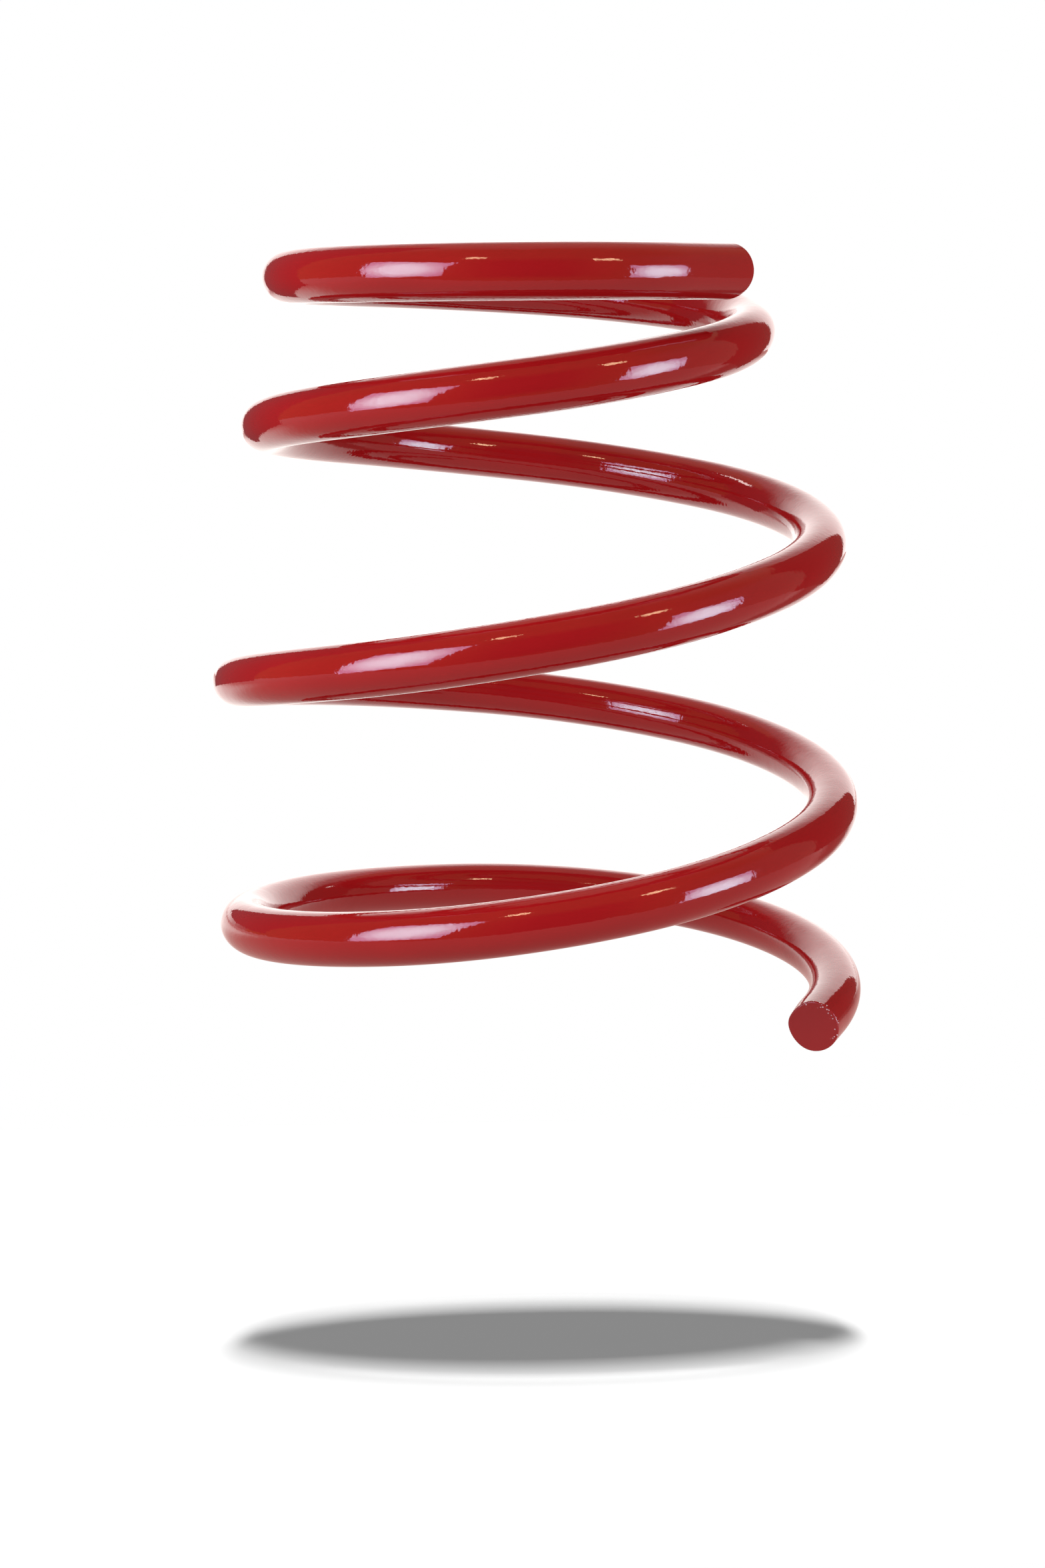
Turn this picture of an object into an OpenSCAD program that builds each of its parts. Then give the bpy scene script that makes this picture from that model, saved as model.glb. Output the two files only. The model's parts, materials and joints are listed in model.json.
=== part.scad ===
// Suspension coil spring: one round steel bar wound into an open, right-handed coil.
//
// The bar is bent as a coiling machine bends it, in short arcs that each turn it from one
// direction to the next, so every length is a true piece of a torus and the lengths run on
// from one another without a kink. The lengths in the middle of the coil are separate bodies
// that twist against each other, as the steel itself does when the spring is squeezed.
//
// Frame: +Z is up the coil, x = y = 0 is the middle of the coil, and z = 0 is its lowest point.

/* [Bar] */
// Diameter of the bar, with its coating
bar_d = 13; // [10:0.5:15]
// Straight stretch that is left at the lower cut end
lower_straight = 8; // [2:1:20]
// Straight stretch that is left at the upper cut end
upper_straight = 19; // [4:1:25]
// Rounding of the lower cut end's edge
lower_edge = 0.6; // [0.2:0.1:2]
// Rounding of the upper cut end's edge
upper_edge = 1.5; // [0.2:0.1:3]

/* [Coil radius, to the middle of the bar] */
// Radius at the lower end
radius_start = 76; // [70:0.5:80]
// Radius of the full coils, from half a turn up to one and a half
radius_full = 75; // [70:0.5:80]
// Radius two turns up, where the coil starts to narrow
radius_narrowing = 72.5; // [66:0.5:76]
// Radius two and a half turns up
radius_neck = 67; // [60:0.5:72]
// Radius three turns up, where the upper end coil starts
radius_upper = 56; // [52:0.5:66]
// Radius at the upper end
radius_end = 57.5; // [52:0.5:66]

/* [Rise in each turn] */
// Rise at the lower tip
rise_tip = 40; // [20:1:50]
// Rise of the lower end coil, on its seat
rise_lower_seat = 25; // [15:1:40]
// Rise where the bar leaves the lower seat
rise_lower = 63; // [50:1:75]
// Rise of the first full coil
rise_middle = 57; // [50:1:75]
// Rise of the widest gap
rise_widest = 72; // [55:1:80]
// Rise at the start of the narrow coil
rise_neck = 38; // [30:1:60]
// Rise just before the upper end coil closes
rise_shoulder = 51; // [40:1:60]
// Rise of the closing upper end coil
rise_closing = 4; // [2:1:20]
// Rise at the upper tip, negative where the tip dips
rise_top = -4; // [-10:1:4]

/* [Turns] */
// Turns from the first bend to the last
turns = 3.92; // [3.9:0.01:3.98]
// Angle from +X at which the bar sets off from its lower end
first_heading = 67; // [0:1:360]
// Gap that lets two lengths twist against each other
twist_gap = 0.3; // [0.2:0.05:0.5]

/* [Hidden] */
$fn = 96;

// Lengths of bar, from the lower end up: those that lie on the lower seat, those that flex, and
// those that close against the upper seat
lower_lengths = 6;
flexing_lengths = 18;
upper_lengths = 8;
lengths = lower_lengths + flexing_lengths + upper_lengths;

function names(stem, count) = [for (i = [1 : count]) str(stem, "_", i)];
lower_names = names("lower_end_coil", lower_lengths);
flexing_names = names("active_coil", flexing_lengths);
upper_names = names("upper_end_coil", upper_lengths);
length_names = concat(lower_names, flexing_names, upper_names);

bar_r = bar_d / 2;
coat_red = [0.70, 0.02, 0.05];

// The turn at which length i begins; i = lengths gives the end of the last one
function turn_at(i) = turns * i / lengths;

radius_stations = [
    [0, radius_start],
    [0.5, radius_full],
    [1.5, radius_full],
    [2, radius_narrowing],
    [2.5, radius_neck],
    [3, radius_upper],
    [turns, radius_end],
];
rise_stations = [
    [0, rise_tip],
    [0.35, rise_lower_seat],
    [0.75, rise_lower],
    [1.4, rise_middle],
    [2, rise_widest],
    [2.6, rise_neck],
    [3.1, rise_shoulder],
    [3.5, rise_closing],
    [turns, rise_top],
];
function coil_radius(turn) = lookup(turn, radius_stations);
function climb(turn) = atan(lookup(turn, rise_stations) / (2 * PI * coil_radius(turn)));

// The way the bar points at a turn, and the arc that takes it from one length's start to the next's
function direction(turn) =
    let (heading = first_heading + 360 * turn, up = climb(turn))
    [cos(up) * cos(heading), cos(up) * sin(heading), sin(up)];
directions = [for (i = [0 : lengths]) direction(turn_at(i))];
function bend_angle(i) = acos(directions[i] * directions[i + 1]);
function bend_radius(i) =
    let (middle = turn_at(i + 0.5))
    coil_radius(middle) / pow(cos(climb(middle)), 2);
function chord(i) = bend_radius(i) * tan(bend_angle(i) / 2) * (directions[i] + directions[i + 1]);
function unit(v) = v / norm(v);
// The way from the bar to the centre of its bend, at the start of length i
function inward(i) = unit(directions[i + 1] - cos(bend_angle(i)) * directions[i]);

// Where each length starts, first from the bar's own start and then from the spring's origin
run = [for (i = 0, at = [0, 0, 0]; i <= lengths; at = i < lengths ? at + chord(i) : at, i = i + 1) at];
function mean(values) = [for (v = values) 1] * values / len(values);
middle_x = mean([for (at = run) at.x]);
middle_y = mean([for (at = run) at.y]);
lowest_z = -lower_straight * sin(climb(0)) - bar_r * cos(climb(0));
starts = [for (at = run) at - [middle_x, middle_y, lowest_z]];

// Which lengths have a gap at their lower cut: every flexing one, and the first above them
function gap_below(i) = i >= lower_lengths && i <= lower_lengths + flexing_lengths ? twist_gap / 2 : 0;

module bar_arc(i) {
    radius = bend_radius(i);
    from = 360 * gap_below(i) / (2 * PI * radius);
    to = bend_angle(i) - 360 * gap_below(i + 1) / (2 * PI * radius);
    out = -inward(i);
    along = directions[i];
    axis = cross(out, along);
    centre = starts[i] - radius * out;
    color(coat_red)
        multmatrix([
            [out.x, along.x, axis.x, centre.x],
            [out.y, along.y, axis.y, centre.y],
            [out.z, along.z, axis.z, centre.z],
        ])
            rotate(from)
                rotate_extrude(angle = to - from)
                    translate([radius, 0])
                        circle(bar_r);
}

// A straight end of the bar that starts at a point and runs to a cut face with a rounded edge
module bar_tip(at, along, size, edge) {
    side = unit(cross([0, 0, 1], along));
    over = cross(along, side);
    color(coat_red)
        multmatrix([
            [side.x, over.x, along.x, at.x],
            [side.y, over.y, along.y, at.y],
            [side.z, over.z, along.z, at.z],
        ])
            rotate_extrude() {
                square([bar_r, size - edge]);
                square([bar_r - edge, size]);
                translate([bar_r - edge, size - edge])
                    intersection() {
                        circle(edge);
                        square(edge);
                    }
            }
}

module lower_tip() {
    bar_tip(starts[0], -directions[0], lower_straight, lower_edge);
}

module upper_tip() {
    bar_tip(starts[lengths], directions[lengths], upper_straight, upper_edge);
}

lower_tip();
for (i = [0 : lengths - 1])
    bar_arc(i);
upper_tip();
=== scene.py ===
"""Looks of the suspension coil spring: one glossy red powder-coated bar over a pale studio floor."""

import json
import math

import bpy
import numpy as np
from mathutils import Matrix, Vector


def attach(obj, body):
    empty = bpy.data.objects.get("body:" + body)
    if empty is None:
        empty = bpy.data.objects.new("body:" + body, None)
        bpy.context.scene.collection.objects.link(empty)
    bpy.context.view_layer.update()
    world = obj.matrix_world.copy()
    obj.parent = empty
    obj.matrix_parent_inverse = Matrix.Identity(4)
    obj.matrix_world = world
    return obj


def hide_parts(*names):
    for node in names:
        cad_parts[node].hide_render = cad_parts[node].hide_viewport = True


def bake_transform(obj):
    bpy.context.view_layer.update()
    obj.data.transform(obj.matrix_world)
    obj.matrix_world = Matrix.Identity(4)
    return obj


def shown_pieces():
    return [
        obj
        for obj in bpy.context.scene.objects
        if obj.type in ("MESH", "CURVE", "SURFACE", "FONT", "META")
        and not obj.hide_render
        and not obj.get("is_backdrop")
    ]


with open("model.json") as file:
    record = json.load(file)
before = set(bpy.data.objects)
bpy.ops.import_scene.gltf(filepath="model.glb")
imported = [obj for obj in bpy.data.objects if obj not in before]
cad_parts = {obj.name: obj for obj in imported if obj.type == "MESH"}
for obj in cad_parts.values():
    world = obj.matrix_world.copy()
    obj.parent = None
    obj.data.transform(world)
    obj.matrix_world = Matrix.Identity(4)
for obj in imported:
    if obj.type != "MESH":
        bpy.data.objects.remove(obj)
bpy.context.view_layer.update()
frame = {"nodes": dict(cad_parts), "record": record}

# ------------------------------------------------------------------ the bar, read from the frame

BAR_RADIUS = 0.0065
SIDES = 72
RING_STEP = 0.0012
# corners within this height of a plane, and faces with this cosine to its normal, are on a flat cap
FLAT = 2e-6
SAME_WAY = 0.99
STEMS = ("lower_end_coil", "active_coil", "upper_end_coil")

# the last length of the chain on the lower side; the lengths after it are on the upper side
LAST_FROM_BELOW = "active_coil_9"

# the coat: colours, roughness on the bar and added on the cut face, and index of refraction
COAT_DEEP = (0.212, 0.0038, 0.0044)
COAT_LIGHT = (0.255, 0.0050, 0.0056)
TONE_SCALE = 45
DUST = (0.8, 0.7, 0.68)
DUST_COVER = 0.7
ROUGHNESS = 0.055
ROUGHNESS_SPREAD = 0.05
ROUGHNESS_SCALE = 160
FACE_ROUGHNESS = 0.28
COAT_IOR = 1.5

# relief of the coat: noise scale, stretch along and across the bar, and height in metres
PEEL = (900, (1, 1, 1), 0.000025)
STREAKS = (2100, (0.25, 1, 1), 0.000006)
WAVES = (150, (1, 1, 1), 0.00006)

# specks in the coat: cells in a metre, radius in metres, and the share of the cells that hold one;
# then the part of the radius that is at full strength, and how high the nibs and bubbles stand
NIBS = (60, 0.0002, 0.12)
BUBBLES = (1300, 0.00022, 0.75)
DOTS = (500, 0.00009, 0.25)
SPECK_CORE = 0.6
NIB_HEIGHT = 0.00004
BUBBLE_HEIGHT = 0.00006

# how far up the bar from the lower cut the dull face and the bubbles on its rim fade, in metres
FACE_FADE = (0.00005, 0.00025)
BUBBLE_FADE = (0.0006, 0.0012)
# where the rim begins, by distance from the bar's middle, and its upper right part
RIM_FROM = (0.0048, 0.0062)
UPPER_RIGHT_FROM = (0.0005, 0.004)

# the dents that make the lower cut egg-shaped: place round the bar and half width in degrees, and depth
EGG = ((135, 50, 0.0005), (215, 55, 0.0003))
# the part of the lower tip that keeps its round shape, and how fast the dents grow beyond it
EGG_FROM = 0.2
EGG_POWER = 1.5

# (length, height) of the rounding of each cut at its sides, its top and its bottom
EDGE_STEPS = 10
SHARP_CUT = ((0.0004, 0.0004), (0.0004, 0.0004), (0.0004, 0.0004))
WORN_CUT = ((0.0015, 0.0015), (0.0024, 0.0026), (0.0036, 0.0042))


def bar_order():
    """Names of the lengths of bar from the lower end up."""
    names = ["lower_tip"]
    for stem in STEMS:
        count = sum(1 for node in frame["nodes"] if node.startswith(stem))
        names += [f"{stem}_{i + 1}" for i in range(count)]
    return names + ["upper_tip"]


def flat_caps(node):
    """(centre, outward direction, radius) of each of the two flat round faces of a CAD node."""
    mesh = frame["nodes"][node].data
    co = np.zeros(len(mesh.vertices) * 3)
    mesh.vertices.foreach_get("co", co)
    co = co.reshape(-1, 3)
    corners = np.array([face.vertices for face in mesh.polygons])
    out = np.array([face.normal for face in mesh.polygons])
    area = np.array([face.area for face in mesh.polygons])
    found = []
    while len(found) < 2:
        widest = int(area.argmax())
        height = (co[corners] - co[corners[widest, 0]]) @ out[widest]
        flat = (np.abs(height).max(1) < FLAT) & (out @ out[widest] > SAME_WAY)
        rim = co[np.unique(corners[flat])]
        centre = rim.mean(0)
        found.append((centre, out[widest], np.linalg.norm(rim - centre, axis=1).mean()))
        area[flat] = 0
    return found


def joints_of_bar(names):
    """(point, direction) where each length meets the next, and the centres of the two cut ends."""
    lower_end, here = sorted(flat_caps(names[0]), key=lambda cap: cap[2])
    meets = []
    for name in names[1:]:
        caps = sorted(flat_caps(name), key=lambda cap: np.linalg.norm(cap[0] - here[0]))
        direction = here[1] - caps[0][1]
        meets.append(((here[0] + caps[0][0]) / 2, direction / np.linalg.norm(direction)))
        here = caps[1]
    return meets, lower_end[0], here[0]


NAMES = bar_order()
MEETS, LOWER_END, UPPER_END = joints_of_bar(NAMES)


def arc(start, end):
    """Points and directions along the arc that takes the bar from one meeting to the next."""
    (p0, d0), (p1, d1) = start, end
    bend = math.acos(float(np.clip(d0 @ d1, -1, 1)))
    radius = np.linalg.norm(p1 - p0) / (2 * math.sin(bend / 2))
    inward = d1 - math.cos(bend) * d0
    inward /= np.linalg.norm(inward)
    count = max(2, math.ceil(radius * bend / RING_STEP))
    turned = np.linspace(0, bend, count + 1)[:, None]
    points = p0 + radius * (np.sin(turned) * d0 + (1 - np.cos(turned)) * inward)
    directions = np.cos(turned) * d0 + np.sin(turned) * inward
    return points, directions


def sides_of(directions):
    """Two unit vectors across the bar: outward from the coil, and upward."""
    over = np.array([0.0, 0.0, 1.0]) - directions[:, 2:3] * directions
    over /= np.linalg.norm(over, axis=1)[:, None]
    return np.cross(directions, over), over


AROUND = np.linspace(0, 2 * math.pi, SIDES, endpoint=False)


def outward(directions):
    """The unit vectors from the middle of the bar to each corner of each ring."""
    side, over = sides_of(directions)
    return np.cos(AROUND)[None, :, None] * side[:, None] + np.sin(AROUND)[None, :, None] * over[:, None]


def closed_tube(name, grid, normals, places, start_cap, end_cap):
    """A closed mesh from rings of corners, with its true normals and each corner's place on the bar."""
    count = len(grid)
    faces = []
    for ring in range(count - 1):
        a, b = ring * SIDES, (ring + 1) * SIDES
        for k in range(SIDES):
            after = (k + 1) % SIDES
            faces.append((a + k, b + k, b + after, a + after))
    flat = normals.reshape(-1, 3)
    corner_normals = [flat[v] for face in faces for v in face]
    first = tuple(range(SIDES))
    last = tuple(reversed(range((count - 1) * SIDES, count * SIDES)))
    for face, cap in ((first, start_cap), (last, end_cap)):
        faces.append(face)
        corner_normals += [cap] * SIDES
    mesh = bpy.data.meshes.new(name)
    mesh.from_pydata(grid.reshape(-1, 3).tolist(), [], faces)
    mesh.validate()
    mesh.update()
    mesh.polygons.foreach_set("use_smooth", [True] * len(mesh.polygons))
    mesh.normals_split_custom_set([tuple(n) for n in corner_normals])
    place = mesh.attributes.new("bar_place", "FLOAT_VECTOR", "POINT")
    place.data.foreach_set("vector", places.astype(np.float32).ravel())
    piece = bpy.data.objects.new(name, mesh)
    bpy.context.scene.collection.objects.link(piece)
    return piece


def places_on_bar(along, radius):
    """(distance along the bar, and the two distances across it) for each corner of each ring."""
    rows = np.broadcast_to(np.asarray(along, float), radius.shape)
    return np.stack([rows, radius * np.cos(AROUND), radius * np.sin(AROUND)], 2)


# ------------------------------------------------------------------ materials


def new_material(name):
    """A material with a Principled shader, and its tree and shader."""
    mat = bpy.data.materials.new(name)
    mat.use_nodes = True
    tree = mat.node_tree
    tree.nodes.clear()
    shader = tree.nodes.new("ShaderNodeBsdfPrincipled")
    out = tree.nodes.new("ShaderNodeOutputMaterial")
    tree.links.new(shader.outputs["BSDF"], out.inputs["Surface"])
    return mat, tree, shader


def link(tree, source, target):
    """Join a node's output to another's input."""
    tree.links.new(source, target)


def paint_mix(tree, first, second, share):
    """A mix of two colours. Each one is (r, g, b) or another node's output."""
    node = tree.nodes.new("ShaderNodeMix")
    node.data_type = "RGBA"
    for socket, colour in (("A", first), ("B", second)):
        if isinstance(colour, tuple):
            node.inputs[socket].default_value = (*colour, 1)
        else:
            link(tree, colour, node.inputs[socket])
    link(tree, share, node.inputs["Factor"])
    return node.outputs["Result"]


def math_node(tree, operation, *values):
    """The result of a math node. Each value is a number or another node's output."""
    node = tree.nodes.new("ShaderNodeMath")
    node.operation = operation
    for slot, value in zip(node.inputs, values):
        if isinstance(value, (int, float)):
            slot.default_value = value
        else:
            link(tree, value, slot)
    return node.outputs[0]


def noise(tree, place, scale, stretch=(1, 1, 1), detail=1.0):
    """Noise about zero. The place is multiplied by stretch first."""
    spread = tree.nodes.new("ShaderNodeVectorMath")
    spread.operation = "MULTIPLY"
    spread.inputs[1].default_value = stretch
    link(tree, place, spread.inputs[0])
    node = tree.nodes.new("ShaderNodeTexNoise")
    node.inputs["Scale"].default_value = scale
    node.inputs["Detail"].default_value = detail
    link(tree, spread.outputs[0], node.inputs["Vector"])
    return math_node(tree, "SUBTRACT", node.outputs[0], 0.5)


def ramp(tree, value, low, high, to_low, to_high):
    """A smooth step from to_low to to_high as the value goes from low to high."""
    node = tree.nodes.new("ShaderNodeMapRange")
    node.interpolation_type = "SMOOTHSTEP"
    for socket, number in (("From Min", low), ("From Max", high), ("To Min", to_low), ("To Max", to_high)):
        node.inputs[socket].default_value = number
    link(tree, value, node.inputs["Value"])
    return node.outputs[0]


def specks(tree, place, scale, size, share):
    """1 on small round specks, one in some of the cells of the given scale, else 0."""
    cells = tree.nodes.new("ShaderNodeTexVoronoi")
    cells.inputs["Scale"].default_value = scale
    link(tree, place, cells.inputs["Vector"])
    pick = tree.nodes.new("ShaderNodeSeparateColor")
    link(tree, cells.outputs["Color"], pick.inputs[0])
    spot = ramp(tree, cells.outputs["Distance"], SPECK_CORE * size * scale, size * scale, 1, 0)
    return math_node(tree, "MULTIPLY", spot, math_node(tree, "LESS_THAN", pick.outputs[0], share))


def powder_coat(lower_cut):
    """Glossy red powder coat: orange peel, long waves, dust nibs, and a dull face at the lower cut."""
    mat, tree, shader = new_material("powder_coat")
    where = tree.nodes.new("ShaderNodeAttribute")
    where.attribute_name = "bar_place"
    place = where.outputs["Vector"]
    split = tree.nodes.new("ShaderNodeSeparateXYZ")
    link(tree, place, split.inputs[0])
    along, out, over = split.outputs
    on_face = ramp(tree, along, lower_cut + FACE_FADE[0], lower_cut + FACE_FADE[1], 1, 0)

    squares = [math_node(tree, "MULTIPLY", part, part) for part in (out, over)]
    reach = math_node(tree, "SQRT", math_node(tree, "ADD", *squares))
    near_rim = ramp(tree, reach, *RIM_FROM, 0, 1)
    upper_right = ramp(tree, math_node(tree, "ADD", out, over), *UPPER_RIGHT_FROM, 0, 1)
    near_cut = ramp(tree, along, lower_cut + BUBBLE_FADE[0], lower_cut + BUBBLE_FADE[1], 1, 0)
    rim = math_node(tree, "MULTIPLY", math_node(tree, "MULTIPLY", near_rim, upper_right), near_cut)
    nibs = specks(tree, place, *NIBS)
    bubbles = math_node(tree, "MULTIPLY", specks(tree, place, *BUBBLES), rim)
    dots = math_node(tree, "MULTIPLY", specks(tree, place, *DOTS), on_face)

    tone = math_node(tree, "ADD", noise(tree, place, TONE_SCALE, detail=2.0), 0.5)
    paint = paint_mix(tree, COAT_DEEP, COAT_LIGHT, tone)
    pale = math_node(tree, "MAXIMUM", nibs, math_node(tree, "MAXIMUM", bubbles, dots))
    dusted = paint_mix(tree, paint, DUST, math_node(tree, "MULTIPLY", pale, DUST_COVER))
    link(tree, dusted, shader.inputs["Base Color"])

    uneven = math_node(tree, "MULTIPLY", noise(tree, place, ROUGHNESS_SCALE), ROUGHNESS_SPREAD)
    rough = math_node(tree, "ADD", uneven, ROUGHNESS)
    dull = math_node(tree, "MULTIPLY", on_face, FACE_ROUGHNESS)
    link(tree, math_node(tree, "ADD", rough, dull), shader.inputs["Roughness"])
    shader.inputs["IOR"].default_value = COAT_IOR

    relief = [(nibs, NIB_HEIGHT), (bubbles, BUBBLE_HEIGHT)]
    for scale, stretch, depth in (PEEL, STREAKS, WAVES):
        relief.append((noise(tree, place, scale, stretch), depth))
    height = 0.0
    for part, depth in relief:
        height = math_node(tree, "ADD", height, math_node(tree, "MULTIPLY", part, depth))
    bump = tree.nodes.new("ShaderNodeBump")
    bump.inputs["Distance"].default_value = 1
    link(tree, height, bump.inputs["Height"])
    link(tree, bump.outputs["Normal"], shader.inputs["Normal"])
    return mat


# ------------------------------------------------------------------ the pieces

COAT = powder_coat(-np.linalg.norm(LOWER_END - MEETS[0][0]))


def body_of_node():
    """The CAD body of each node."""
    bodies = frame["record"]["behaviour"]["bodies"]
    return {node: body for body, nodes in bodies.items() for node in nodes}


BODY = body_of_node()


def finish_piece(piece, name):
    """The coat, and the CAD node that the piece stands for."""
    piece.data.materials.append(COAT)
    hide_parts(name)


def build_lengths():
    """One closed tube for each bent length, tied to its body; the lengths of the active coils are baked in
    place and tied to none.
    """
    along = 0.0
    for i, name in enumerate(NAMES[1:-1]):
        points, directions = arc(MEETS[i], MEETS[i + 1])
        run = np.concatenate([[0], np.cumsum(np.linalg.norm(np.diff(points, axis=0), axis=1))])
        normals = outward(directions)
        grid = points[:, None] + BAR_RADIUS * normals
        places = places_on_bar((along + run)[:, None], np.full(grid.shape[:2], BAR_RADIUS))
        piece = closed_tube(name + "_bar", grid, normals, places, -directions[0], directions[-1])
        finish_piece(piece, name)
        along += run[-1]
        body = BODY[name]
        if not body.startswith("active_coil"):
            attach(piece, body)
            continue
        lower, upper = tuple(points[0]), tuple(points[-1])
        if NAMES.index(name) > NAMES.index(LAST_FROM_BELOW):
            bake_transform(piece)
            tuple(lower)
            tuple(upper)
        else:
            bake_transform(piece)
            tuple(lower)
            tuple(upper)
    return along


def tip_radius(sign, reach):
    """Radius round the straight end, by distance from its bent neighbour: the lower cut is egg-shaped."""
    radius = np.full((len(reach), SIDES), BAR_RADIUS)
    if sign < 0:
        close = np.clip((reach / reach[-1] - EGG_FROM) / (1 - EGG_FROM), 0, 1) ** EGG_POWER
        for centre, width, depth in EGG:
            away = np.abs((AROUND - math.radians(centre) + math.pi) % (2 * math.pi) - math.pi)
            dent = 0.5 + 0.5 * np.cos(np.clip(away / math.radians(width), 0, 1) * math.pi)
            radius -= depth * close[:, None] * dent
    return radius


def edges_round_bar(edges):
    """Length and height of the rounding at each side of the ring, between those of sides, top and bottom."""
    upward = np.clip(np.sin(AROUND), 0, 1) ** 2
    downward = np.clip(-np.sin(AROUND), 0, 1) ** 2
    return [side + upward * (top - side) + downward * (bottom - side) for side, top, bottom in zip(*edges)]


def build_tip(name, meet, end, along, sign, edges):
    """A straight end of the bar with a rounded cut. sign is -1 at the lower end and 1 at the upper."""
    point, direction = meet
    length = np.linalg.norm(end - point)
    edge_long, edge_high = edges_round_bar(edges)
    steps = max(2, math.ceil((length - edge_long.max()) / RING_STEP))
    straight = np.linspace(0, 1, steps + 1)[:, None] * (length - edge_long)[None]
    turns = np.linspace(0, math.pi / 2, EDGE_STEPS + 1)[1:, None]
    reach = np.concatenate([straight, length - edge_long + edge_long * np.sin(turns)])
    radius = tip_radius(sign, reach.mean(1))
    radius[steps + 1:] -= edge_high * (1 - np.cos(turns))
    tilt = np.zeros(radius.shape)
    tilt[steps + 1:] = np.arctan2(edge_high * np.sin(turns), edge_long * np.cos(turns))
    out = outward(np.repeat(direction[None], len(reach), 0))
    grid = point + sign * reach[..., None] * direction + radius[..., None] * out
    normals = np.cos(tilt)[..., None] * out + np.sin(tilt)[..., None] * sign * direction
    places = places_on_bar(along + sign * reach, radius)
    if sign < 0:
        grid, normals, places = grid[::-1], normals[::-1], places[::-1]
    piece = closed_tube(name + "_bar", grid, normals, places, -direction, direction)
    finish_piece(piece, name)
    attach(piece, BODY[name])


bar_length = build_lengths()
build_tip("lower_tip", MEETS[0], LOWER_END, 0.0, -1, SHARP_CUT)
build_tip("upper_tip", MEETS[-1], UPPER_END, bar_length, 1, WORN_CUT)

# ------------------------------------------------------------------ camera, lights and stage

CAMERA_PLACE = (-0.00366, -0.6859, 0.18193)
CAMERA_DOWN = math.radians(9.955)
CAMERA_ROLL = math.radians(-0.843)
LENS = 62.75
CLIP = (0.05, 50)

# the floor: a place on it below the spring, how it falls away backward, its side, how far it runs
# forward of that place, and its colour and roughness
FLOOR_PLACE = (0.0, -0.012, -0.083)
FLOOR_FALL = math.radians(15.0)
FLOOR_SIZE = 1.9
FLOOR_FRONT = 0.3
FLOOR_COLOUR = (0.85, 0.85, 0.85)
FLOOR_ROUGHNESS = 0.9
# how bright its lamps make it: the strip above, the fill in its shadow, and the fill underneath
STRIP_LEVEL = 1.12
FILL_LEVEL = 0.26
UNDER_LEVEL = 1.15
STRIP_SIZE = (0.5, 3.2)
STRIP_AWAY = 6.0
SHADE_RADIUS = 0.07
SHADE_SIDES = 64

BACK_LIGHT = 2.4
BACK_LIGHT_ANGLE = math.radians(40)
BACK_LIGHT_TURN = math.radians(-40)

# radiances in the middle and at the edge of the two softboxes, the warm lamps and the lamps behind
BOX_GLOW = ((10, 12.5, 15), (4.5, 3.5, 6))
WARM_GLOW = ((14, 10, 6), (10, 7, 4))
BACK_GLOW = ((9, 8, 7.6), (6, 5.2, 5))
# what the lamps in front aim at, and each one's place, size, glow and the stretch where it fades
FRONT_AIM = (0, -0.04, 0.11)
FRONT_LAMPS = {
    "left_softbox": ((-0.412, -0.350, 0.262), (0.366, 0.485), BOX_GLOW, (0.15, 0.6)),
    "right_softbox": ((0.80, -0.461, 0.115), (0.45, 0.68), BOX_GLOW, (0.15, 0.6)),
    "left_warm": ((-0.175, -0.413, 0.678), (0.09, 0.07), WARM_GLOW, (0.2, 0.6)),
    "right_warm": ((0.273, -0.33, 0.50), (0.085, 0.07), WARM_GLOW, (0.2, 0.6)),
}
# the small lamps behind: place, aim, size, and the side of the far coils that each one lights
BACK_LAMPS = {
    "back_left": ((-0.177, 0.195, 0.405), (0.058, 0.034, 0.12), (0.03, 0.13), 1),
    "back_right": ((0.283, 0.235, 0.243), (-0.056, 0.043, 0.027), (0.03, 0.035), -1),
}
BACK_FADE = (0.3, 0.6)
# a piece is a far coil when its middle lies this far to the side and this far back
FAR_SIDE = 0.03
FAR_BACK = 0.01

# the room: radius, height of its middle, lowest and highest angle in degrees, and its four colours
ROOM_RADIUS = 4.0
ROOM_MIDDLE = 0.1
ROOM_ANGLES = (-60, 90)
ROOM_FRONT = (0.36, 0.245, 0.12)
ROOM_BACK = (0.5, 0.46, 0.38)
ROOM_RIGHT = (0.38, 0.32, 0.25)
ROOM_DARK = (0.08, 0.07, 0.08)
# parts of the room, each as centre, half width and softness in degrees: those that have the colours
# of the front and of the right, the top, and the dark part before the spring
FRONT_AROUND = (0, 130, 80)
RIGHT_AROUND = (90, 30, 30)
RIGHT_UP = (0, 45, 20)
TOP_UP = (90, 50, 50)
DARK_AROUND = (4, 26, 36)
DARK_UP = (10, 34, 18)

# the backdrop: distance behind the spring, extent sideways and upward, and tint
BACKDROP_Y = 1.2
BACKDROP_X = (-1.6, 2.0)
BACKDROP_Z = (-0.1, 1.5)
BACKDROP_COLOUR = (1, 0.985, 0.955)
# how bright the backdrop is, what a patch at the right and one in the middle add to it, and the share
# that its sides and its top keep
BACKDROP_LEVEL = 1.6
RIGHT_EXTRA = 0.4
MIDDLE_EXTRA = 0.5
SIDES_KEEP = 0.22
TOP_KEEP = 0.34
# those patches and the parts that keep the full level, as centre, half width and softness
RIGHT_X = (0.9, 0.5, 0.6)
MIDDLE_X = (0, 0.4, 0.5)
MIDDLE_Z = (0, 0.75, 0.5)
FULL_X = (0.2, 1.1, 0.75)
FULL_HEIGHT = 0.98
FULL_SOFT = 0.6
# where the full part is lower, and by how much
LOWER_X = (1.3, 0.6, 0.5)
LOWER_BY = 0.2

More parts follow.
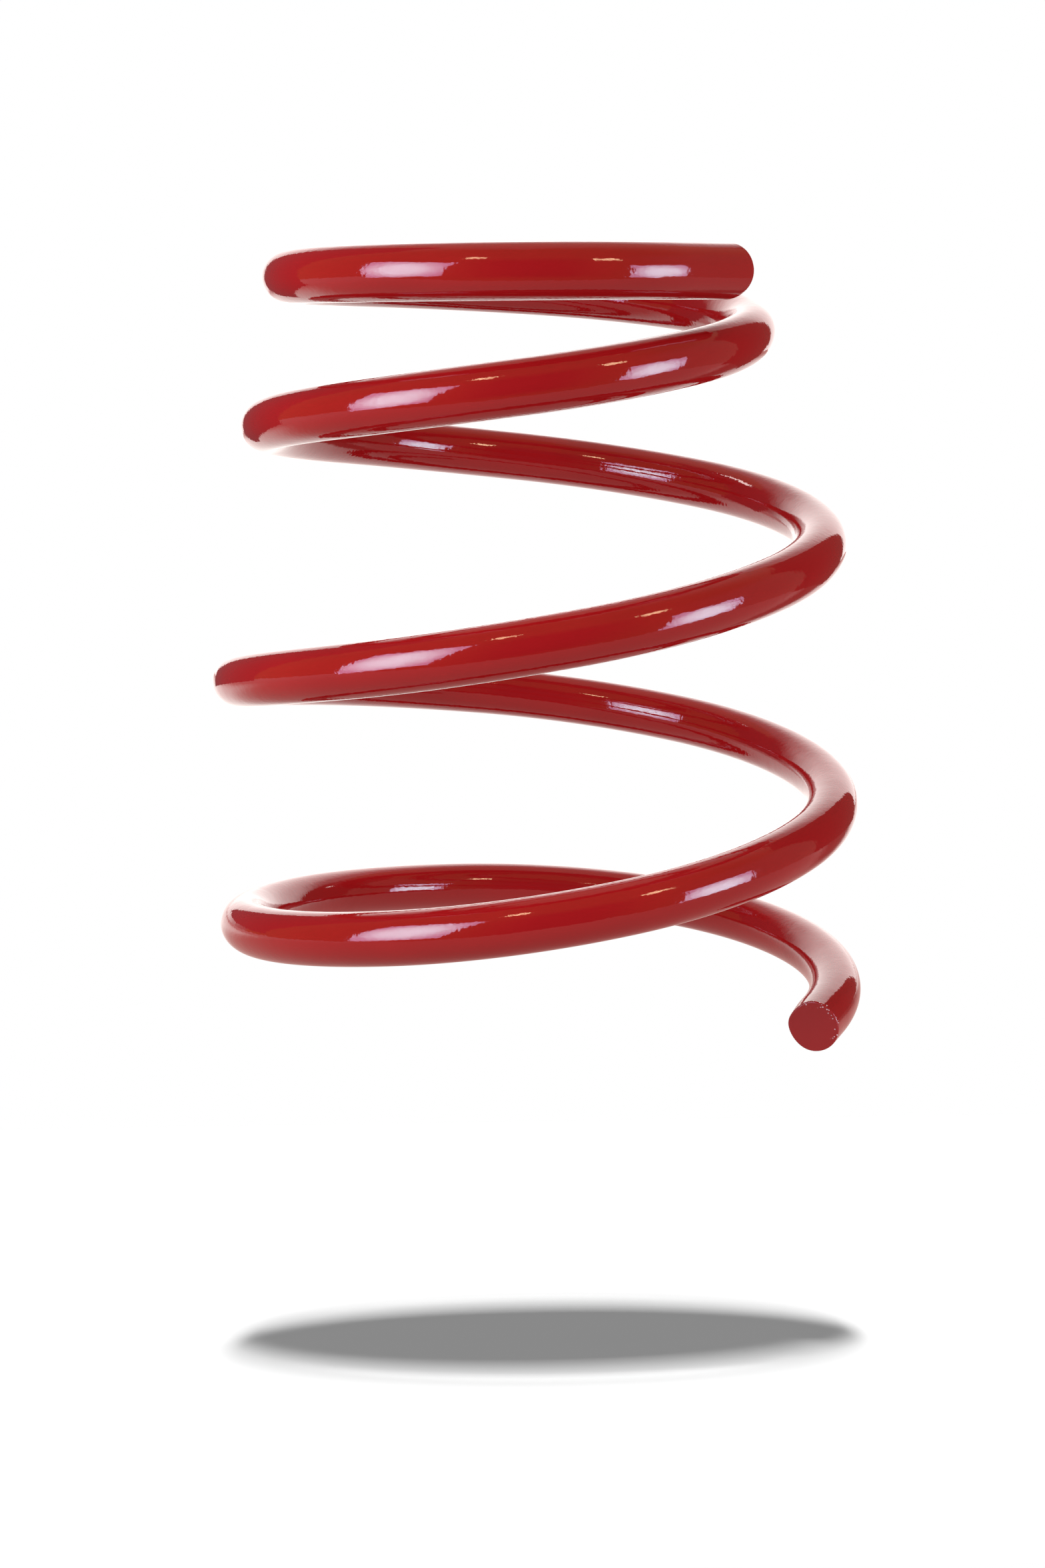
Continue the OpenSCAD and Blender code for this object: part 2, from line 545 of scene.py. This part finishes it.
# the table: extent sideways, height, where its front edge crosses the middle and how far it skews,
# and the colours of its parts
TABLE_X = (-1.1, 0.55)
TABLE_Z = -0.003
TABLE_FRONT = -0.295
TABLE_SKEW = 0.1
TABLE_RIGHT = (0.74, 0.50, 0.455)
TABLE_LEFT = (0.85, 0.66, 0.64)
TABLE_BEHIND = (1.5, 1.42, 1.36)
TABLE_SHADE = (0.2, 0.16, 0.14)
# those parts, as centre, half width and softness: the left, what is behind the spring, and the right
# flag's shade, by angle round a place beside the coil and by distance from the coil
TABLE_LEFT_X = (-0.9, 0.45, 0.5)
TABLE_BEHIND_X = (0, 0.36, 0.2)
TABLE_BEHIND_Y = (1.2, 1.1, 0.14)
SHADE_FROM = (0.075, -0.01)
SHADE_AROUND = (130, 15, 10)
SHADE_AWAY = (0.6, 0.47, 0.05)

# black flags beside the spring: the plan place of each edge, the heights, and the radiance
FLAGS = {
    "left_flag": ((-0.370, 0.100), (-0.165, 0.215), (0.045, 0.85), (0.115, 0.105, 0.11)),
    "right_flag": ((0.245, 0.285), (0.470, 0.110), (-0.10, 0.56), (0.11, 0.09, 0.075)),
}

# cells across and up each card
ROOM_CELLS = (72, 30)
BACKDROP_CELLS = (36, 20)
TABLE_CELLS = (66, 60)


def make_camera():
    """The camera before the spring, a little above its middle and looking down on it."""
    camera = bpy.data.objects.new("camera", bpy.data.cameras.new("camera"))
    bpy.context.scene.collection.objects.link(camera)
    ahead = np.array([0, math.cos(CAMERA_DOWN), -math.sin(CAMERA_DOWN)])
    right = np.array([1.0, 0, 0])
    up = np.cross(right, ahead)
    cosine, sine = math.cos(CAMERA_ROLL), math.sin(CAMERA_ROLL)
    right, up = cosine * right + sine * up, cosine * up - sine * right
    turn = Matrix([[right[k], up[k], -ahead[k]] for k in range(3)])
    camera.matrix_world = Matrix.Translation(CAMERA_PLACE) @ turn.to_4x4()
    camera.data.lens = LENS
    camera.data.clip_start, camera.data.clip_end = CLIP
    bpy.context.scene.camera = camera


def seen_by(obj, camera=False, glossy=True, diffuse=True, shadow=False):
    """Which rays meet a stage object."""
    obj.visible_camera = camera
    obj.visible_glossy = glossy
    obj.visible_diffuse = diffuse
    obj.visible_transmission = False
    obj.visible_volume_scatter = False
    obj.visible_shadow = shadow


def window(value, centre, half, soft):
    """1 near the centre, falling smoothly to 0 over the soft width round the half width."""
    t = min(1, max(0, (half + soft / 2 - abs(value - centre)) / soft))
    return t * t * (3 - 2 * t)


def new_lamp(name, kind, power, matrix):
    """A lamp that the camera doesn't see."""
    data = bpy.data.lights.new(name, kind)
    data.energy = power
    lamp = bpy.data.objects.new(name, data)
    lamp.matrix_world = matrix
    bpy.context.scene.collection.objects.link(lamp)
    lamp.visible_camera = False
    return lamp


def area_lamp(name, place, target, size, glow, fade):
    """A rectangular lamp. glow is its radiance in the middle and at the edge, fade where that changes."""
    aim = Vector(target) - Vector(place)
    matrix = Matrix.LocRotScale(place, aim.to_track_quat("-Z", "Y"), None)
    lamp = new_lamp(name, "AREA", math.pi * size[0] * size[1], matrix)
    data = lamp.data
    data.shape = "RECTANGLE"
    data.size, data.size_y = size
    data.use_nodes = True
    tree = data.node_tree
    spot = tree.nodes.new("ShaderNodeNewGeometry")
    centred = tree.nodes.new("ShaderNodeVectorMath")
    centred.operation = "SUBTRACT"
    centred.inputs[1].default_value = (0.5, 0.5, 0)
    link(tree, spot.outputs["Parametric"], centred.inputs[0])
    reach = tree.nodes.new("ShaderNodeVectorMath")
    reach.operation = "LENGTH"
    link(tree, centred.outputs[0], reach.inputs[0])
    outer = ramp(tree, reach.outputs["Value"], *fade, 0, 1)
    link(tree, paint_mix(tree, *glow, outer), tree.nodes["Emission"].inputs["Color"])
    return lamp


def glow_material(name):
    """Light of the colour that the mesh's own glow attribute gives."""
    mat = bpy.data.materials.new(name)
    mat.use_nodes = True
    tree = mat.node_tree
    tree.nodes.clear()
    glow = tree.nodes.new("ShaderNodeEmission")
    out = tree.nodes.new("ShaderNodeOutputMaterial")
    colour = tree.nodes.new("ShaderNodeAttribute")
    colour.attribute_name = "glow"
    link(tree, colour.outputs["Color"], glow.inputs["Color"])
    link(tree, glow.outputs[0], out.inputs[0])
    return mat


def card(name, cells, place, radiance):
    """A lattice that lights the spring, with its place and radiance as functions of (u, v)."""
    across, up = cells
    spots = [(u / across, v / up) for v in range(up + 1) for u in range(across + 1)]
    row = across + 1
    faces = [(v * row + u, v * row + u + 1, (v + 1) * row + u + 1, (v + 1) * row + u)
             for v in range(up) for u in range(across)]
    mesh = bpy.data.meshes.new(name)
    mesh.from_pydata([place(u, v) for u, v in spots], [], faces)
    glow_of = mesh.color_attributes.new("glow", "FLOAT_COLOR", "POINT")
    for spot, (u, v) in zip(glow_of.data, spots):
        spot.color = (*radiance(u, v), 1)
    thing = bpy.data.objects.new(name, mesh)
    bpy.context.scene.collection.objects.link(thing)
    mesh.materials.append(glow_material(name))
    thing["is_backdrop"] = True
    seen_by(thing)
    return thing


def between(a, b, t):
    """The list of numbers that lies t of the way from a to b."""
    return [x + (y - x) * t for x, y in zip(a, b)]


def room_angles(u, v):
    """Azimuth from the front and height of a place on the room, in degrees."""
    low, high = ROOM_ANGLES
    return 360 * u - 180, low + (high - low) * v


def room_place(u, v):
    """A dome round the studio."""
    azimuth, height = (math.radians(angle) for angle in room_angles(u, v))
    flat = ROOM_RADIUS * math.cos(height)
    return flat * math.sin(azimuth), -flat * math.cos(azimuth), ROOM_MIDDLE + ROOM_RADIUS * math.sin(height)


def room_glow(u, v):
    """Warm dim room, lighter at the back and dark before the spring."""
    azimuth, height = room_angles(u, v)
    back = 1 - window(azimuth, *FRONT_AROUND)
    colour = between(ROOM_FRONT, ROOM_BACK, back * window(height, *TOP_UP))
    colour = between(colour, ROOM_RIGHT, window(azimuth, *RIGHT_AROUND) * window(height, *RIGHT_UP))
    return between(colour, ROOM_DARK, window(azimuth, *DARK_AROUND) * window(height, *DARK_UP))


def backdrop_place(u, v):
    """The white backdrop."""
    left, right = BACKDROP_X
    low, high = BACKDROP_Z
    return left + (right - left) * u, BACKDROP_Y, low + (high - low) * v


def backdrop_glow(u, v):
    """White in the middle, a little more at the right, and fading to both sides and upward."""
    x, _, z = backdrop_place(u, v)
    level = BACKDROP_LEVEL + RIGHT_EXTRA * window(x, *RIGHT_X)
    level += MIDDLE_EXTRA * window(x, *MIDDLE_X) * window(z, *MIDDLE_Z)
    level *= SIDES_KEEP + (1 - SIDES_KEEP) * window(x, *FULL_X)
    full_height = FULL_HEIGHT - LOWER_BY * window(x, *LOWER_X)
    level *= TOP_KEEP + (1 - TOP_KEEP) * window(z, 0, full_height, FULL_SOFT)
    return [level * part for part in BACKDROP_COLOUR]


def table_place(u, v):
    """The table under the spring, from its front edge back to the backdrop."""
    left, right = TABLE_X
    x = left + (right - left) * u
    front = TABLE_FRONT + TABLE_SKEW * x
    return x, front + (BACKDROP_Y - front) * v, TABLE_Z


def table_glow(u, v):
    """Bright behind the spring, dim before it and in the right flag's shade."""
    x, y, _ = table_place(u, v)
    colour = between(TABLE_RIGHT, TABLE_LEFT, window(x, *TABLE_LEFT_X))
    colour = between(colour, TABLE_BEHIND, window(y, *TABLE_BEHIND_Y) * window(x, *TABLE_BEHIND_X))
    around = math.degrees(math.atan2(x - SHADE_FROM[0], SHADE_FROM[1] - y))
    shade = window(around, *SHADE_AROUND) * window(math.hypot(x, y), *SHADE_AWAY)
    return between(colour, TABLE_SHADE, shade)


def flag_place(edges, heights):
    """The lattice of one flag, from its left edge to its right edge."""
    def place(u, v):
        x, y = between(*edges, u)
        return x, y, heights[0] + (heights[1] - heights[0]) * v
    return place


def floor_material():
    """A dull plain colour."""
    mat, _, shader = new_material("floor")
    shader.inputs["Base Color"].default_value = (*FLOOR_COLOUR, 1)
    shader.inputs["Roughness"].default_value = FLOOR_ROUGHNESS
    shader.inputs["Specular IOR Level"].default_value = 0
    return mat


def collection_of(name, things):
    """A collection for light linking."""
    group = bpy.data.collections.new(name)
    for thing in things:
        group.objects.link(thing)
    return group


def fill_shadow():
    """A round shade at the foot of the coil for the middle of its shadow. Only shadow rays meet it."""
    bpy.ops.mesh.primitive_circle_add(vertices=SHADE_SIDES, radius=SHADE_RADIUS, fill_type="NGON")
    disc = bpy.context.object
    disc.name = "shade_disc"
    disc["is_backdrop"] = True
    seen_by(disc, glossy=False, diffuse=False, shadow=True)


def floor_lamps():
    """A long strip lamp high above, and a shadowless fill on each side. The powers are for white."""
    white_sun = math.pi / FLOOR_COLOUR[0]
    white_area = white_sun * math.pi * STRIP_AWAY ** 2
    above = Matrix.Translation(FLOOR_PLACE) @ Matrix.Translation((0, 0, STRIP_AWAY))
    strip = new_lamp("overhead", "AREA", STRIP_LEVEL * white_area, above)
    strip.data.shape = "RECTANGLE"
    strip.data.size, strip.data.size_y = STRIP_SIZE
    fill = new_lamp("fill", "SUN", FILL_LEVEL * white_sun, Matrix.Identity(4))
    under = new_lamp("under_fill", "SUN", UNDER_LEVEL * white_sun, Matrix.Rotation(math.pi, 4, "X"))
    for lamp in (fill, under):
        lamp.data.use_shadow = False
    return [strip, fill, under]


def light_floor(floor):
    """The floor's own lamps, which light nothing else."""
    only_floor = collection_of("lit_from_above", [floor])
    for lamp in floor_lamps():
        lamp.visible_glossy = False
        lamp.light_linking.receiver_collection = only_floor


def back_light():
    """A soft lamp high behind, without a mirror image, for the top of each coil."""
    lamp = new_lamp("back_light", "SUN", BACK_LIGHT, Matrix.Rotation(BACK_LIGHT_TURN, 4, "X"))
    lamp.data.angle = BACK_LIGHT_ANGLE
    lamp.visible_glossy = False
    return lamp


def far_pieces(side):
    """The pieces of the far coils on one side: side is -1 at the left and 1 at the right."""
    found = []
    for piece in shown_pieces():
        middle = np.array([piece.matrix_world @ v.co for v in piece.data.vertices]).mean(0)
        if side * middle[0] > FAR_SIDE and middle[1] > FAR_BACK:
            found.append(piece)
    return found


def light_far_coils():
    """Small lamps behind the spring for the inner face of the far coils."""
    for name, (place, target, size, side) in BACK_LAMPS.items():
        lamp = area_lamp(name, place, target, size, BACK_GLOW, BACK_FADE)
        lamp.light_linking.receiver_collection = collection_of(name, far_pieces(side))


def make_floor():
    """The pale floor, which runs a little forward of the spring and far behind it."""
    back = FLOOR_SIZE / 2 - FLOOR_FRONT
    middle = Vector(FLOOR_PLACE) + back * Vector((0, math.cos(FLOOR_FALL), -math.sin(FLOOR_FALL)))
    bpy.ops.mesh.primitive_plane_add(size=FLOOR_SIZE, location=middle, rotation=(-FLOOR_FALL, 0, 0))
    floor = bpy.context.object
    floor.name = "floor"
    floor.data.materials.append(floor_material())
    floor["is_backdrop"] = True
    seen_by(floor, camera=True, glossy=False, diffuse=False)
    return floor


def make_stage():
    """The floor that the camera sees, and the room, backdrop, table, flags and lamps of the studio."""
    floor = make_floor()
    cards = [
        card("room", ROOM_CELLS, room_place, room_glow),
        card("backdrop", BACKDROP_CELLS, backdrop_place, backdrop_glow),
        card("table", TABLE_CELLS, table_place, table_glow),
    ]
    for name, (left, right, heights, shade) in FLAGS.items():
        cards.append(card(name, (1, 1), flag_place((left, right), heights), lambda u, v, shade=shade: shade))
    lamps = [back_light()]
    for name, (place, size, glow, fade) in FRONT_LAMPS.items():
        lamps.append(area_lamp(name, place, FRONT_AIM, size, glow, fade))
    fill_shadow()
    light_floor(floor)
    light_far_coils()
    bar = collection_of("lit_by_studio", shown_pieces())
    for thing in lamps + cards:
        thing.light_linking.receiver_collection = bar
        thing.light_linking.blocker_collection = bar


def make_world():
    """A white surround that only the camera sees."""
    world = bpy.data.worlds.new("studio")
    bpy.context.scene.world = world
    world.use_nodes = True
    world.node_tree.nodes["Background"].inputs["Color"].default_value = (1, 1, 1, 1)
    world.node_tree.nodes["Background"].inputs["Strength"].default_value = 1
    world.cycles_visibility.diffuse = False
    world.cycles_visibility.glossy = False


make_camera()
make_stage()
make_world()
bpy.context.scene.view_settings.view_transform = "Standard"
